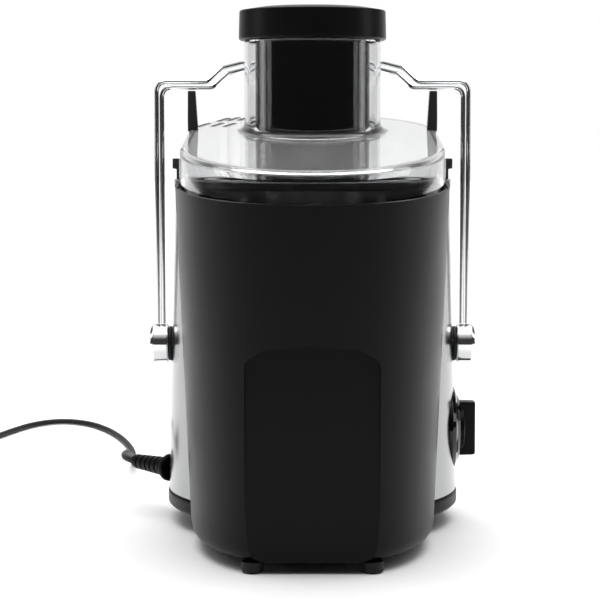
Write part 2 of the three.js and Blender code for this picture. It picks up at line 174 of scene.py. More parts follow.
def cylinder(name, radius, start, end, segments, **place):
    """A plain cylinder to cut or join with."""
    return turned(name, [(radius, start), (radius, end)], segments, closed=False, **place)


def lofted(name, rings):
    """Skins a stack of equal rings and closes both ends."""
    columns = len(rings[0])
    points = [p for ring in rings for p in ring]
    faces = grid_faces(len(rings), columns)
    faces.append(tuple(range(columns)))
    faces.append(tuple(range((len(rings) - 1) * columns, len(rings) * columns)))
    return mesh_piece(name, points, faces)


def prism(name, outline, start, end, along="y"):
    """An outline of (a, b) points carried from start to end along an axis."""
    if along == "x":
        return lofted(name, [[(t, a, b) for a, b in outline] for t in (start, end)])
    return lofted(name, [[(a, t, b) for a, b in outline] for t in (start, end)])


def swept(name, path, section):
    """A section of (a, b) points carried along a path with a frame that doesn't twist."""
    path = [Vector(p) for p in path]
    tangents = []
    for i in range(len(path)):
        tangents.append((path[min(i + 1, len(path) - 1)] - path[max(i - 1, 0)]).normalized())
    side = tangents[0].orthogonal().normalized()
    if abs(tangents[0].z) < 0.9:
        side = tangents[0].cross(Vector((0, 0, 1))).normalized()
    rings = []
    for point, tangent in zip(path, tangents):
        side = (side - tangent * side.dot(tangent)).normalized()
        up = side.cross(tangent).normalized()
        rings.append([tuple(point + side * a + up * b) for a, b in section])
    return lofted(name, rings)


def circle(radius, sides):
    turn = 2 * math.pi / sides
    return [(radius * math.cos(i * turn), radius * math.sin(i * turn)) for i in range(sides)]


def rectangle(left, right, bottom, top):
    return [(left, bottom), (right, bottom), (right, top), (left, top)]


def combine(piece, other, how):
    """Joins or cuts with another piece, which is then removed."""
    tool = piece.modifiers.new(how.lower(), "BOOLEAN")
    tool.operation = how
    tool.object = other
    tool.solver = "EXACT"
    bpy.context.view_layer.update()
    shape = piece.evaluated_get(bpy.context.evaluated_depsgraph_get())
    mesh = bpy.data.meshes.new_from_object(shape)
    piece.modifiers.remove(tool)
    old = piece.data
    piece.data = mesh
    bpy.data.meshes.remove(old)
    bpy.data.objects.remove(other)
    return piece


def soften(piece, width, segments=3, angle=40):
    """Rounds the sharp edges of a finished shape."""
    bevel = piece.modifiers.new("edges", "BEVEL")
    bevel.width = width * MM
    bevel.segments = segments
    bevel.limit_method = "ANGLE"
    bevel.angle_limit = math.radians(angle)


def smooth_route(points, steps=6):
    """A Catmull-Rom line through the points."""
    points = [Vector(p) for p in points]
    out = []
    for i in range(len(points) - 1):
        before = points[i - 1] if i else points[0] * 2 - points[1]
        after = points[i + 2] if i + 2 < len(points) else points[-1] * 2 - points[-2]
        a, b = points[i], points[i + 1]
        for k in range(steps):
            t = k / steps
            out.append(0.5 * ((2 * a) + (b - before) * t + (2 * before - 5 * a + 4 * b - after) * t * t
                              + (3 * a - before - 3 * b + after) * t ** 3))
    return out + [points[-1]]


def rounded_route(corners, radii, steps=8):
    """Straight runs with round bends between them."""
    corners = [Vector(c) for c in corners]
    out = [corners[0]]
    for i, radius in enumerate(radii):
        before, corner, after = corners[i: i + 3]
        back, ahead = (before - corner).normalized(), (after - corner).normalized()
        reach = radius / math.tan(back.angle(ahead) / 2)
        start, end = corner + back * reach, corner + ahead * reach
        for k in range(steps + 1):
            t = k / steps
            out.append(start * (1 - t) ** 2 + corner * 2 * t * (1 - t) + end * t ** 2)
    return out + [corners[-1]]


# ---- materials ----

PAINT = {
    "steel": dict(color=(0.34, 0.343, 0.347), rough=0.2, metal=1.0, vary=0.05, grain=(3, 3, 900), bump=0.02),
    "chrome": dict(color=(0.80, 0.81, 0.82), rough=0.1, metal=1.0, vary=0.02, grain=(60, 60, 60), bump=0.004),
    "satin_black": dict(color=(0.004, 0.004, 0.0042), rough=0.35, level=0.1, vary=0.12,
                        grain=(1500, 1500, 1500), bump=0.035),
    "gloss_black": dict(color=(0.003, 0.003, 0.0033), rough=0.07, level=0.35, vary=0.1,
                        grain=(90, 90, 90), bump=0.004),
    "smoke": dict(color=(0.022, 0.022, 0.024), rough=0.22, vary=0.12, grain=(120, 120, 120), bump=0.01),
    "rubber": dict(color=(0.006, 0.006, 0.006), rough=0.55, level=0.3, vary=0.15,
                   grain=(900, 900, 900), bump=0.05),
    "copper": dict(color=(0.45, 0.20, 0.10), rough=0.4, metal=1.0, vary=0.2, grain=(40, 40, 1400), bump=0.3),
    "iron": dict(color=(0.20, 0.20, 0.21), rough=0.5, metal=1.0, vary=0.15, grain=(20, 20, 1800), bump=0.15),
    "carbon": dict(color=(0.02, 0.02, 0.02), rough=0.8, vary=0.2, grain=(700, 700, 700), bump=0.1),
    "nylon": dict(color=(0.70, 0.68, 0.62), rough=0.5, vary=0.06, grain=(300, 300, 300), bump=0.02),
    "brass": dict(color=(0.70, 0.55, 0.28), rough=0.28, metal=1.0, vary=0.06, grain=(30, 900, 30), bump=0.03),
}


def node_tree(name):
    material = bpy.data.materials.new(name)
    material.use_nodes = True
    tree = material.node_tree
    return material, tree, tree.nodes["Principled BSDF"]


def noise(tree, scale, detail=3.0):
    """Noise in the object's own coordinates, stretched by a scale along each axis."""
    place = tree.nodes.new("ShaderNodeTexCoord")
    stretch = tree.nodes.new("ShaderNodeMapping")
    stretch.inputs["Scale"].default_value = scale
    texture = tree.nodes.new("ShaderNodeTexNoise")
    texture.inputs["Scale"].default_value = 1.0
    texture.inputs["Detail"].default_value = detail
    tree.links.new(place.outputs["Object"], stretch.inputs["Vector"])
    tree.links.new(stretch.outputs["Vector"], texture.inputs["Vector"])
    return texture.outputs["Fac"]


def spread(tree, value, low_value, high_value):
    """A noise value from 0.3 to 0.7 carried to a range."""
    scale = tree.nodes.new("ShaderNodeMapRange")
    scale.inputs["From Min"].default_value = 0.3
    scale.inputs["From Max"].default_value = 0.7
    scale.inputs["To Min"].default_value = low_value
    scale.inputs["To Max"].default_value = high_value
    tree.links.new(value, scale.inputs["Value"])
    return scale.outputs["Result"]


def make_material(slot):
    """Colour that drifts a little, roughness that follows handling, and a fine surface grain."""
    look = PAINT[slot]
    material, tree, shader = node_tree(slot)
    broad = noise(tree, (14, 14, 14))
    color = tree.nodes.new("ShaderNodeMix")
    color.data_type = "RGBA"
    darker = [c * (1 - look["vary"]) for c in look["color"]]
    lighter = [min(1, c * (1 + look["vary"])) for c in look["color"]]
    color.inputs["A"].default_value = (*darker, 1)
    color.inputs["B"].default_value = (*lighter, 1)
    tree.links.new(spread(tree, broad, 0, 1), color.inputs["Factor"])
    tree.links.new(color.outputs["Result"], shader.inputs["Base Color"])
    rough = look["rough"]
    tree.links.new(spread(tree, broad, rough * 0.9, rough * 1.12), shader.inputs["Roughness"])
    shader.inputs["Metallic"].default_value = look.get("metal", 0.0)
    shader.inputs["Specular IOR Level"].default_value = look.get("level", 0.5)
    bump = tree.nodes.new("ShaderNodeBump")
    bump.inputs["Strength"].default_value = look["bump"]
    bump.inputs["Distance"].default_value = 0.0004
    tree.links.new(noise(tree, look["grain"], 2.0), bump.inputs["Height"])
    tree.links.new(bump.outputs["Normal"], shader.inputs["Normal"])
    return material


def make_clear():
    """Clear moulded plastic with a faint flow in its surface, and less transmission where it faces up: a
    painted grey veil that stands in for the light seen through the lid's top.
    """
    material, tree, shader = node_tree("clear")
    facing = tree.nodes.new("ShaderNodeTexCoord")
    parts = tree.nodes.new("ShaderNodeSeparateXYZ")
    # Painted light: transmission falls on faces that point up, which gives a grey veil for the light seen
    # through the top.
    painted_veil = tree.nodes.new("ShaderNodeMapRange")
    painted_veil.interpolation_type = "SMOOTHSTEP"
    for socket, value in (("From Min", 0.6), ("From Max", 1.0), ("To Min", 1.0), ("To Max", 0.86)):
        painted_veil.inputs[socket].default_value = value
    tree.links.new(facing.outputs["Normal"], parts.inputs["Vector"])
    tree.links.new(parts.outputs["Z"], painted_veil.inputs["Value"])
    tree.links.new(painted_veil.outputs["Result"], shader.inputs["Transmission Weight"])
    shader.inputs["IOR"].default_value = 1.46
    haze = noise(tree, (30, 30, 30))
    tree.links.new(spread(tree, haze, 0.012, 0.03), shader.inputs["Roughness"])
    tint = tree.nodes.new("ShaderNodeMix")
    tint.data_type = "RGBA"
    tint.inputs["A"].default_value = (0.86, 0.865, 0.87, 1)
    tint.inputs["B"].default_value = (0.92, 0.925, 0.93, 1)
    tree.links.new(spread(tree, haze, 0, 1), tint.inputs["Factor"])
    tree.links.new(tint.outputs["Result"], shader.inputs["Base Color"])
    return material


MATERIALS = {slot: make_material(slot) for slot in PAINT}
MATERIALS["clear"] = make_clear()
NODE_SLOT = {entry["node"]: entry["material_slot"] for entry in frame["record"]["subparts"]}
BODIES = frame["record"]["behaviour"]["bodies"]
NODE_BODY = {node: body for body, nodes in BODIES.items() for node in nodes}


def finish_piece(piece, node, *also, slot=None, angle=SMOOTH_ANGLE):
    """Rides a finished piece on its CAD node's body, in that node's place and material."""
    slot = slot or NODE_SLOT[node]
    piece.data.materials.clear()
    piece.data.materials.append(MATERIALS[slot])
    shade(piece, angle)
    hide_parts(node, *also)
    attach(piece, NODE_BODY[node])
    return piece


for name, cad in frame["nodes"].items():
    cad.data.materials.clear()
    cad.data.materials.append(MATERIALS[NODE_SLOT[name]])


# ---- cord ----

CORD_RADIUS = 2.4
CORD_EXIT = (-131.6, 37.6, 34)
BOOT_ROOT, BOOT_AIM = (-102.6, 8.6, 34), (-1, 1, 0)
ROUTE = [
    CORD_EXIT, (-136, 43, 34.1), (-140, 52, 34), (-142.5, 66, 33.2), (-143.5, 84, 31.6),
    (-144, 104, 28.6), (-144.5, 128, 23.6), (-145.5, 152, 17.4), (-147, 178, 10.8), (-149, 204, 5.8),
    (-151.5, 232, 3.2), (-155, 262, 2.8), (-161, 292, 2.8), (-168.5, 322, 2.8), (-178, 352, 2.8),
    (-190, 382, 2.8), (-207, 412, 2.8), (-228, 430, 2.8), (-248, 428, 2.8), (-264, 408, 2.8),
    (-276, 376, 2.8), (-286, 340, 2.8), (-296, 303, 2.8), (-302, 278.6, 2.8),
]
COIL_MIDDLE = (-333, 262)
COIL_TURNS = [(29.4, 2.8), (24.6, 2.8), (24.6, 7.6), (29.4, 7.6)]  # radius and height of each
TIE_X = COIL_MIDDLE[0] - 27
PLUG_ENTRY = (-306, 236, 8.6)


EASE_FROM = 0.62  # how far round a turn the cord starts towards the next one


def coil_points(per_turn=24):
    """Turns beside and on each other, each easing into the next over its last third."""
    points = []
    for i, (radius, height) in enumerate(COIL_TURNS):
        next_radius, next_height = COIL_TURNS[min(i + 1, len(COIL_TURNS) - 1)]
        for k in range(per_turn):
            t = k / per_turn
            ease = max(0.0, (t - EASE_FROM) / (1 - EASE_FROM))
            ease = ease * ease * (3 - 2 * ease)
            r = radius + (next_radius - radius) * ease
            z = height + (next_height - height) * ease
            angle = -2 * math.pi * t
            points.append((COIL_MIDDLE[0] + r * math.cos(angle), COIL_MIDDLE[1] + r * math.sin(angle), z))
    return points


def aimed(piece, root, direction):
    """Stands a piece made round the vertical axis on a root point, along a direction."""
    turn = Vector((0, 0, 1)).rotation_difference(Vector(direction))
    axis, place = Vector((0, AXIS_Y, 0)) * MM, Vector(root) * MM
    for v in piece.data.vertices:
        v.co = turn @ (v.co - axis) + place + axis
    return piece


def make_boot():
    """Strain relief: a round flange and a tapered boot with ring grooves."""
    profile = [(3.2, 0), (9.2, 0), (9.9, 1.0), (9.9, 2.6), (9.2, 3.6), (7.6, 4.6), (7.0, 6.0)]
    rib, groove = 5.6, 1.5
    for k in range(6):
        start = 7.0 + k * rib
        r = 6.9 - 0.055 * (start - 7)
        profile += [(r, start), (r + 0.1, start + 0.5), (r - 0.12, start + rib - groove - 0.5),
                    (r - 0.4, start + rib - groove), (r - 1.05, start + rib - groove + 0.35),
                    (r - 1.05, start + rib - 0.35)]
    profile += [(4.5, 40.4), (4.1, 41), (CORD_RADIUS + 0.05, 41), (CORD_RADIUS + 0.05, 6), (3.2, 4)]
    boot = aimed(turned("strain_relief_look", profile, 64), BOOT_ROOT, BOOT_AIM)
    combine(boot, cylinder("body_space", 103.2, 10, 60, 160), "DIFFERENCE")
    return finish_piece(boot, "strain_relief")


def make_tie():
    """A moulded strap round the coil, with its head on the outside."""
    x, y = TIE_X, COIL_MIDDLE[1]
    strap = prism("cord_tie_look", rounded(rectangle(x - 6.2, x + 6.2, 0.06, 11.2), 3, 6), y - 2.6, y + 2.6)
    inside = prism("inside", rounded(rectangle(x - 5.1, x + 5.1, 0.36, 10.3), 2.4, 6), y - 5, y + 5)
    combine(strap, inside, "DIFFERENCE")
    head = prism("head", rounded(rectangle(x - 7.1, x - 5.6, 3.4, 8.2), 0.4, 3), y - 2.9, y + 2.9)
    combine(strap, head, "UNION")
    soften(strap, 0.25, 2)
    return finish_piece(strap, "cord_tie")


def make_plug():
    """Moulded two-blade plug with grip ridges on its waist."""
    x, y, _ = PLUG_ENTRY
    sections = [(0, 4.6), (0.4, 5.0), (1.4, 5.6)]
    for k in range(5):
        start, half = 2.2 + 2.2 * k, 6.6 + 0.9 * k
        sections += [(start, half - 0.5), (start + 0.3, half), (start + 1.3, half + 0.35),
                     (start + 1.7, half - 0.35)]
    sections += [(13.6, 11.6), (15.2, 12.6), (18, 12.9), (24.4, 12.2), (25.6, 11.7), (26, 10.8)]

    def ring(along, half):
        """A rounded rectangle that rests just above the table."""
        middle = 0.55 * half + 2.1
        bulge = 2 / 3.2
        out = []
        for i in range(64):
            c, s = math.cos(2 * math.pi * i / 64), math.sin(2 * math.pi * i / 64)
            out.append((x + half * math.copysign(abs(c) ** bulge, c), y - along,
                        middle + 0.1 + (middle - 0.1) * math.copysign(abs(s) ** bulge, s)))
        return out

    plug = lofted("plug_body_look", [ring(*s) for s in sections])
    parts = [finish_piece(plug, "plug_body")]
    for i, offset in ((1, 6.35), (2, -6.35)):
        outline = rounded([(y - 26.2, 5.2), (y - 26.2, 11.4), (y - 42, 11.4), (y - 42, 5.2)],
                          [0.1, 0.1, 2.2, 2.2], 5)
        blade = prism(f"plug_blade_{i}_look", outline, x + offset - 0.75, x + offset + 0.75, along="x")
        hole = cylinder("hole", 1.6, -20, 20, 24, along="x", centre=(x + offset, y - 38, 8.3))
        combine(blade, hole, "DIFFERENCE")
        soften(blade, 0.2, 2)
        parts.append(finish_piece(blade, f"plug_blade_{i}"))
    return parts


def make_cord():
    """Round black lead: out of the boot, down to the table, away behind and into its coil."""
    into_plug = [(-303.9, 252, 7.9), (-305, 244, 8.3), PLUG_ENTRY, (-306, 233, 8.8)]
    path = smooth_route(smooth_route(ROUTE, 4) + coil_points()[1:] + into_plug, 2)
    lead = finish_piece(swept("power_cord_look", path, circle(CORD_RADIUS, 20)), "power_cord", "cord_coil")
    make_boot()
    make_tie()
    make_plug()


make_cord()


# ---- motor base ----

def make_base_ring():
    radius = 103.7
    profile = rounded([(94.8, 12), (101.5, 12), (radius, 14), (radius, 21.6), (radius - 1.6, 22.8),
                       (98.2, 23), (98.2, 20), (94.8, 20)], [0.4, 1.5, 2.5, 1.4, 1.0, 0.6, 0.3, 0.3])
    finish_piece(turned("base_ring_look", profile, 160), "base_ring")


def make_feet():
    """Turned rubber feet under the base and the bin, each where its CAD foot is."""
    for node in frame["nodes"]:
        if not node.startswith(("base_foot", "bin_foot")):
            continue
        a, b = box_mm(node)
        middle = ((a.x + b.x) / 2, (a.y + b.y) / 2, 0)
        radius, top = (b.x - a.x) / 2, b.z
        profile = rounded([(0.01, 0), (radius - 1.2, 0), (radius, 1.6), (radius, top), (0.01, top)],
                          [0, 1.0, 1.0, 0.2, 0], closed=False)
        foot = turned(node + "_look", profile, 48, closed=False, centre=middle)
        finish_piece(foot, node)


SLEEVE_LOW, SLEEVE_HIGH = 23.3, 238.0
SLEEVE_RADII = (102.9, 97.5)
DIAL_HEIGHT, PIVOT_HEIGHT = 65, 126


def sleeve_radius(z):
    t = (z - SLEEVE_LOW) / (SLEEVE_HIGH - SLEEVE_LOW)
    return SLEEVE_RADII[0] + t * (SLEEVE_RADII[1] - SLEEVE_RADII[0])


def make_sleeve():
    """The steel sleeve with a notch for the spout and holes for pivots, dial and cord."""
    wall = 1.2
    rows = [SLEEVE_LOW + (SLEEVE_HIGH - SLEEVE_LOW) * k / 12 for k in range(13)]
    profile = [(sleeve_radius(z), z) for z in rows] + [(sleeve_radius(z) - wall, z) for z in reversed(rows)]
    sleeve = turned("steel_body_look", profile, 192)
    notch = prism("notch", rounded(rectangle(-21, 21, 182, 250), [6, 6, 0, 0]), 60, 125)
    combine(sleeve, notch, "DIFFERENCE")
    holes = ((PIVOT_HEIGHT, 4.5, -130, 130), (DIAL_HEIGHT, 7, 60, 130), (BOOT_ROOT[2], 7.4, -130, -60))
    for height, radius, start, end in holes:
        hole = cylinder("hole", radius, start, end, 48, along="x", centre=(0, 0, height))
        combine(sleeve, hole, "DIFFERENCE")
    finish_piece(sleeve, "steel_body", angle=math.radians(40))


def make_dial():
    """The domed plate on the sleeve's side, and a knob with a tapered grip across it."""
    z = DIAL_HEIGHT
    dome = rounded([(0.01, 92), (32, 92), (32, 99.2), (29.5, 101.8), (25.5, 103.2), (22, 105.2),
                    (0.01, 105.4)], [0, 0.2, 1.2, 2, 2.5, 2, 0], closed=False)
    plate = turned("dial_plate_look", dome, 128, closed=False, along="x", centre=(0, 0, z))
    edge = [(sleeve_radius(height) + 0.3, height) for height in (10, 120)]
    body = turned("body_space", edge, 192, closed=False)
    combine(plate, body, "DIFFERENCE")
    hole = cylinder("hole", 4.4, 80, 120, 32, along="x", centre=(0, 0, z))
    combine(plate, hole, "DIFFERENCE")
    finish_piece(plate, "dial_plate")
    start, face = 105.7, 116.9
    collar = rounded([(0.01, start), (16, start), (16, start + 2.6), (14.5, start + 3.2),
                      (0.01, start + 3.2)], [0, 0.3, 0.8, 0.8, 0], closed=False)
    knob = turned("dial_knob_look", collar, 96, closed=False, along="x", centre=(0, 0, z))
    outline = rounded(rectangle(-6.4, 6.4, z - 19.5, z + 19.5), 2.2, steps=6)
    tapers = ((start, 1, 1), (face - 2.2, 0.94, 0.99), (face - 0.6, 0.88, 0.975), (face, 0.78, 0.955))
    grip = lofted("grip", [[(x, y * width, z + (h - z) * length) for y, h in outline]
                           for x, width, length in tapers])
    combine(knob, grip, "UNION")
    spindle = cylinder("spindle", 4, 84.5, start + 1, 32, along="x", centre=(0, 0, z))
    combine(knob, spindle, "UNION")
    finish_piece(knob, "dial_knob")


make_base_ring()
make_feet()
make_sleeve()
make_dial()


# ---- juice bowl, sieve and lid ----

SPOUT_TIP, SPOUT_ROOT, SPOUT_DROP = 134, 84, 8


def make_bowl():
    """The dark bowl in the top of the sleeve, with its spout and the two ears beside the lid."""
    inside, wall = 92.6, 2.2
    top, under = 244, 238.3
    profile = rounded([(13, 178), (88, 178), (inside + wall, 186), (inside + wall, under), (98.3, under),
                       (98.3, top), (inside, top), (inside, 187.4), (87, 180.2), (19, 180.2), (19, 194),
                       (16, 194), (16, 180.2), (13, 180.2)],
                      [0.5, 3, 3, 0.2, 0.8, 1.4, 1.0, 3, 3, 1.5, 0.6, 0.6, 0.5, 0.3])
    bowl = turned("juice_bowl_look", profile, 160)

    def section(y, grow):
        lower = SPOUT_DROP * (y - SPOUT_ROOT) / (SPOUT_TIP - SPOUT_ROOT)
        corners = rectangle(-17 - grow, 17 + grow, 186 - grow, 206 + grow)
        outline = rounded(corners, [7, 7, 4, 4], steps=6)
        return [(x, y, z - lower) for x, z in outline]

    combine(bowl, lofted("spout", [section(88, 0), section(SPOUT_TIP, 0)]), "UNION")
    combine(bowl, lofted("way", [section(80, -wall), section(SPOUT_TIP + 5, -wall)]), "DIFFERENCE")
    for side in (-1, 1):
        outline = [(side * 94.4, 243), (side * 96.2, 243), (side * 96.2, 251), (side * 99, 251.6),
                   (side * 99, 258.4), (side * 94.4, 258.4)]
        combine(bowl, prism("ear", rounded(outline, 0.5, steps=2), -9, 9), "UNION")
    finish_piece(bowl, "juice_bowl")


BIN_MIDDLE_Y = -75
LID_HALF_WIDTH, LID_FRONT_Y, LID_WALL = 88.6, -194, 2.4
LID_HEIGHT, LID_SLOPE = 278.8, 0.13  # of the top at the motor's axis, rising towards the back
SKIRT_LOW, SKIRT_RISE = 229, 12
LID_EDGE = [(0, 5.0), (0.0, 3.4), (0.2, 2.2), (0.7, 1.2), (1.5, 0.5), (2.5, 0.12), (3.6, 0.0)]  # inset, down
CHUTE_RADIUS, CHUTE_BORE, CHUTE_ROOT = 48.3, 45.3, 6.0


def lid_top(y):
    return LID_HEIGHT + LID_SLOPE * y


def lid_skirt(y):
    """The skirt's lower edge follows the bin's rim, which drops towards the front."""
    t = (y - LID_FRONT_Y) / (BIN_MIDDLE_Y - LID_FRONT_Y)
    return SKIRT_LOW + SKIRT_RISE * min(1, max(0, t))


def front_arc(a, b, middle_y, power, steps):
    """The front half of a squared ellipse."""
    points = []
    for i in range(steps + 1):
        c, s = math.cos(math.pi * i / steps), math.sin(math.pi * i / steps)
        points.append((a * math.copysign(abs(c) ** (2 / power), c), middle_y - b * abs(s) ** (2 / power)))
    return points


def lid_outline(inset):
    half = LID_HALF_WIDTH - inset
    front = front_arc(half, BIN_MIDDLE_Y - LID_FRONT_Y - inset, BIN_MIDDLE_Y, 2.1, 72)
    angles = [math.pi * (1 - i / 56) for i in range(57)]
    return front + [(half * math.cos(a), half * math.sin(a)) for a in angles]


VENTS = ((-79, 26), (-69, 28), (-60, 27), (-66, 57), (-58.5, 61), (-51, 63))


def vent(x, y, half, height):
    """A slanting slot with round ends; height gives its top and its bottom at a place along Y."""
    turn_by = math.radians(-20)
    long = 11
    points = []
    for px, py in rounded(rectangle(-half, half, -long, long), half - 0.02, steps=6):
        points.append((x + px * math.cos(turn_by) - py * math.sin(turn_by),
                       y + px * math.sin(turn_by) + py * math.cos(turn_by)))
    return lofted("vent", [[(px, py, height(py, top)) for px, py in points] for top in (False, True)])


def through_lid(y, top):
    return 310 if top else 240


def make_lid_trim():
    """Dark parts on the lid: the lugs the bail presses on, painted dark; the vents' rims; and a dark ring of
    painted shade round the chute's root.
    """
    for name, side in (("left", -1), ("right", 1)):
        corners = [(81.2, 277.5), (88.4, 277.5), (88.5, 286), (88.3, 306.2), (83.0, 306.2), (81.7, 286)]
        outline = rounded([(side * x, z) for x, z in corners], [0, 0, 1, 0.8, 0.8, 1], steps=4)
        # The lugs are smoke: a painted dark that stands in for the dark refraction and reflection seen in
        # their clear plastic.
        lug = prism(f"dark_painted_lug_{name}", outline, -4, 4)
        soften(lug, 0.45, 3)
        finish_piece(lug, "lid", slot="smoke")
    rims = None
    for x, y in VENTS:
        rim = vent(x, y, 2.08, lambda y, top: lid_top(y) + (0.04 if top else -2.5))
        combine(rim, vent(x, y, 0.9, through_lid), "DIFFERENCE")
        rims = combine(rims, rim, "UNION") if rims else rim
    rims.name = "lid_vent_rims"
    finish_piece(rims, "lid", slot="gloss_black")
    # A rubber ring under the lid's top round the chute: painted shade, a dark ring for the dark crescent seen
    # through the clear lid there.
    seal = turned("lid_chute_shade_ring", rounded(rectangle(48.5, 52.0, 273.6, 275.5), 0.5, 3), 128)
    for v in seal.data.vertices:
        v.co.z += LID_SLOPE * (v.co.y - AXIS_Y * MM)
    finish_piece(seal, "lid", slot="rubber")


def lid_form(name, inset, lower):
    """The lid's outside, or its hollow when inset by the wall, with a rounded upper edge."""
    rings = [[(x, y, lid_skirt(y) - lower) for x, y in lid_outline(inset)]]
    for further, down in LID_EDGE:
        rings.append([(x, y, lid_top(y) - inset - down) for x, y in lid_outline(further + inset)])
    return lofted(name, rings)


def chute_form():
    """The feed chute, from below the lid's top through a swept root to its rim."""
    sides = 128
    turn = [2 * math.pi * i / sides for i in range(sides)]

    def on_lid(r, rise):
        return [(r * math.cos(a), r * math.sin(a), lid_top(r * math.sin(a)) + rise) for a in turn]

    def level(r, z):
        return [(r * math.cos(a), r * math.sin(a), z) for a in turn]

    rings = [level(CHUTE_RADIUS, 212)]
    rings += [on_lid(r, -LID_WALL) for r in (CHUTE_RADIUS, CHUTE_RADIUS + CHUTE_ROOT)]
    for k in range(9):
        bend = math.pi / 2 * k / 8
        rings.append(on_lid(CHUTE_RADIUS + CHUTE_ROOT * (1 - math.sin(bend)),
                            CHUTE_ROOT * (1 - math.cos(bend)) - 0.02))
    rings += [level(CHUTE_RADIUS - inset, z) for inset, z in ((0, 300), (0, 340.2), (0.5, 341), (1.2, 341.2))]
    return lofted("chute", rings)


def make_lid():
    """Clear lid: sloped top with a rounded edge, skirt, feed chute and vents."""
    outer = lid_form("lid_look", 0, 0)
    combine(outer, lid_form("hollow", LID_WALL, 3), "DIFFERENCE")
    combine(outer, cylinder("bowl_space", 101, 200, 244.5, 128), "DIFFERENCE")
    behind = prism("behind", rectangle(-120, 120, 200, 244.5), -52, 120)
    combine(outer, behind, "DIFFERENCE")
    combine(outer, chute_form(), "UNION")
    combine(outer, cylinder("bore", CHUTE_BORE, 200, 350, 128), "DIFFERENCE")
    for x, y in VENTS:
        combine(outer, vent(x, y, 2.1, through_lid), "DIFFERENCE")
    finish_piece(outer, "lid", angle=math.radians(28))


def make_pusher():
    """The hollow round pusher with two key grooves, and its domed cap."""
    radius, bottom, top = 40.6, 214, 341.3
    wall = 2.8
    profile = rounded([(0.01, bottom), (radius, bottom), (radius, top), (radius - wall, top),
                       (radius - wall, bottom + wall), (0.01, bottom + wall)],
                      [0, 2, 0.3, 0.3, 1, 0], closed=False)
    body = turned("pusher_body_look", profile, 160)
    for side in (-1, 1):
        groove = prism("groove", rectangle(side * 1.6, side * 2.5, 216, 340), -45, -39.9)
        combine(body, groove, "DIFFERENCE")
    finish_piece(body, "pusher_body")
    cap = rounded([(0.01, 341.6), (50.8, 341.6), (52.2, 342.6), (51.7, 362.4), (38, 364.6), (20, 365.7),
                   (0.01, 366)], [0, 0.4, 0.8, 1.4, 20, 20, 0], steps=7, closed=False)
    finish_piece(turned("pusher_cap_look", cap, 160, closed=False), "pusher_cap")


# ---- pulp bin ----

BIN_LOW, BIN_RIM, BIN_BACK = 7.6, 243, 105.3
BIN_DROP, BIN_REACH = 10, 129  # the rim drops this far towards the front, which is this far out


def bin_ring(z, inset, drop=0.0):
    """The bin's outline at a height, widening upwards, with its front lowered by a drop."""
    t = (z - BIN_LOW) / (BIN_RIM - BIN_LOW)
    a, b = 82 + 10 * t - inset, 121 + 8 * t - inset
    outline = front_arc(a, b, BIN_MIDDLE_Y, 2.15, 120) + [(-a, -35), (a, -35)]
    return [(x, y, z - drop * max(0, (BIN_MIDDLE_Y - y) / BIN_REACH)) for x, y in outline]


def recess_outline(half, top, grow=0.0):
    """The hand recess: open at the foot, with an arched top."""
    half, top = half + grow, top + grow
    corners = [(-half, -8), (half, -8), (half, top - 6), (half - 13, top + 2.6), (0, top + 5.4),
               (13 - half, top + 2.6), (-half, top - 6)]
    return rounded(corners, [0, 0, 9, 14, 60, 14, 9], steps=10)


def make_bin():
    """Satin black bin, hollow, with a hand recess in its front and a back that fits the body."""
    wall, floor_y = 2.3, -183
    levels = [BIN_LOW + 14 + (BIN_RIM - BIN_LOW - 14) * k / 10 for k in range(11)]
    base = [(0, 7.0), (0.55, 4.6), (2.1, 2.5), (4.6, 0.9), (8.2, 0.12), (12, 0.0)]
    outer = lofted("pulp_bin_look", [bin_ring(BIN_LOW + up, inset) for up, inset in base]
                   + [bin_ring(z, 0, BIN_DROP * (i / 10)) for i, z in enumerate(levels)])
    inner = lofted("inner", [bin_ring(BIN_LOW + wall + up, inset + wall) for up, inset in base[1:]]
                   + [bin_ring(z, wall, BIN_DROP * (i / 10)) for i, z in enumerate(levels)][1:]
                   + [bin_ring(BIN_RIM + 20, wall)])
    combine(inner, cylinder("back_wall", BIN_BACK + wall, 0, 300, 256), "DIFFERENCE")
    half, top = 42.5, 141
    keep = prism("pocket_wall", recess_outline(half, top, wall), -230, floor_y + wall)
    combine(inner, keep, "DIFFERENCE")
    combine(outer, inner, "DIFFERENCE")
    combine(outer, cylinder("body_space", BIN_BACK, 0, 300, 256), "DIFFERENCE")
    under_lid = prism("under_lid", rectangle(-89.2, 89.2, 225, 260), -110, 0)
    combine(outer, under_lid, "DIFFERENCE")
    combine(outer, prism("pocket", recess_outline(half, top), -240, floor_y), "DIFFERENCE")
    soften(outer, 1.1, 3, 38)
    finish_piece(outer, "pulp_bin", angle=math.radians(30))


# ---- locking bail ----

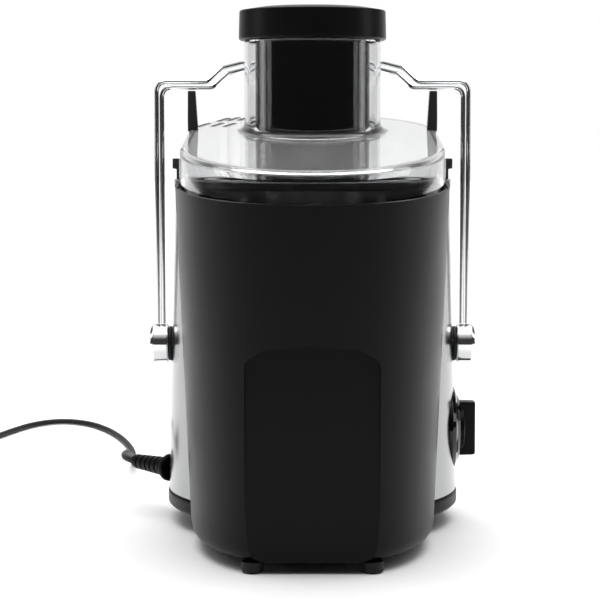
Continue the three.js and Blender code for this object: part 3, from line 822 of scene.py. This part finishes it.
def make_bail():
    """Two arched wires over the lid, and the barrel, washer and pin of each side pivot."""

    def route(x, top, rise):
        kink = x - 36
        right = [(x, 0, 140.3), (x, 0, top), (kink, 0, top), (kink - 9, 19, top + rise * 0.66),
                 (kink - 22, 42, top + rise * 0.95), (38, 60, top + rise)]
        corners = right + [(-px, py, pz) for px, py, pz in reversed(right)]
        return rounded_route(corners, [8, 5, 14, 24, 20, 20, 24, 14, 5, 8], 10)

    for node, x, top, rise in (("bail_wire_outer", 110.8, 312.6, 15), ("bail_wire_inner", 107, 308.8, 14.6)):
        wire = swept(node + "_look", route(x, top, rise), circle(1.72, 24))
        finish_piece(wire, node, angle=math.radians(60))
    for side, sign in (("left", -1), ("right", 1)):
        barrel = rounded([(4.5, 103), (13.2, 103), (14, 103.8), (14, 113.6), (12.4, 115.8), (8.5, 116.8),
                          (0.01, 116.9), (0.01, 112.9), (4.5, 112.9)],
                         [0.2, 0.4, 0.6, 2, 1.5, 4, 0, 0, 0.2], steps=5)
        washer = rounded(rectangle(4.5, 12.5, 100.7, 102.7), 0.5, steps=3)
        pin = rounded([(0.01, 93), (7, 93), (7, 97), (4.2, 97), (4.2, 112.4), (0.01, 112.4)],
                      [0, 0.6, 0.6, 0.2, 0.5, 0], steps=3)
        for kind, profile in (("barrel", barrel), ("washer", washer), ("pin", pin)):
            node = f"pivot_{kind}_{side}"
            points = [(r, sign * h) for r, h in profile]
            finish_piece(turned(node + "_look", points, 96, along="x", centre=(0, 0, PIVOT_HEIGHT)), node)


make_bowl()
make_lid()
make_lid_trim()
make_pusher()
make_bin()
make_bail()


# ---- surroundings ----

def make_floor():
    """A broad white table top, just under the feet."""
    half_width, front, back, height = 6000, -2600, 9000, -0.05
    points = [(x, y, height) for x in (-half_width, half_width) for y in (front, back)]
    floor = mesh_piece("floor", points, [(0, 1, 3, 2)])
    material, _, shader = node_tree("floor")
    shader.inputs["Base Color"].default_value = (0.93, 0.93, 0.93, 1)
    shader.inputs["Roughness"].default_value = 0.6
    floor.data.materials.append(material)


def area_light(name, place, aim, size, power):
    """A soft rectangular lamp turned towards a point; lengths are in metres."""
    data = bpy.data.lights.new(name, "AREA")
    data.shape = "RECTANGLE"
    data.size, data.size_y = size
    data.energy = power
    light = bpy.data.objects.new(name, data)
    light.location = place
    light.rotation_euler = (Vector(aim) - Vector(place)).to_track_quat("-Z", "Y").to_euler()
    bpy.context.scene.collection.objects.link(light)


def make_light():
    """White behind and overhead, dark towards the front, so that gloss black stays black."""
    world = bpy.data.worlds.new("studio")
    world.use_nodes = True
    nodes, links = world.node_tree.nodes, world.node_tree.links
    direction = nodes.new("ShaderNodeTexCoord")
    parts = nodes.new("ShaderNodeSeparateXYZ")
    links.new(direction.outputs["Generated"], parts.inputs["Vector"])
    behind, above = nodes.new("ShaderNodeMapRange"), nodes.new("ShaderNodeMapRange")
    for ramp, source, start, end in ((behind, "Y", 0.5, 1.0), (above, "Z", 0.45, 1.0)):
        ramp.interpolation_type = "SMOOTHSTEP"
        ramp.inputs["From Min"].default_value = start
        ramp.inputs["From Max"].default_value = end
        links.new(parts.outputs[source], ramp.inputs["Value"])
    most = nodes.new("ShaderNodeMath")
    most.operation = "MAXIMUM"
    links.new(behind.outputs["Result"], most.inputs[0])
    links.new(above.outputs["Result"], most.inputs[1])
    level = nodes.new("ShaderNodeMapRange")
    level.inputs["To Min"].default_value = 0.045
    level.inputs["To Max"].default_value = 1.0
    links.new(most.outputs["Value"], level.inputs["Value"])
    seen = nodes.new("ShaderNodeLightPath")
    strength = nodes.new("ShaderNodeMix")
    strength.data_type = "FLOAT"
    strength.inputs["B"].default_value = 1.0
    links.new(seen.outputs["Is Camera Ray"], strength.inputs["Factor"])
    links.new(level.outputs["Result"], strength.inputs["A"])
    links.new(strength.outputs["Result"], nodes["Background"].inputs["Strength"])
    nodes["Background"].inputs["Color"].default_value = (1, 1, 1, 1)
    bpy.context.scene.world = world
    top = bpy.data.lights.new("overhead", "SUN")
    top.energy, top.angle = 3.0, math.radians(70)
    lamp = bpy.data.objects.new("overhead", top)
    lamp.rotation_euler = (math.radians(-8), 0, 0)
    bpy.context.scene.collection.objects.link(lamp)
    for name, x in (("left", -1.3), ("right", 1.3)):
        area_light(name, (x, 0.1, 0.7), (0, 0, 0.15), (0.3, 1.0), 2.5)
    bpy.context.scene.view_settings.view_transform = "Standard"


make_floor()
make_light()
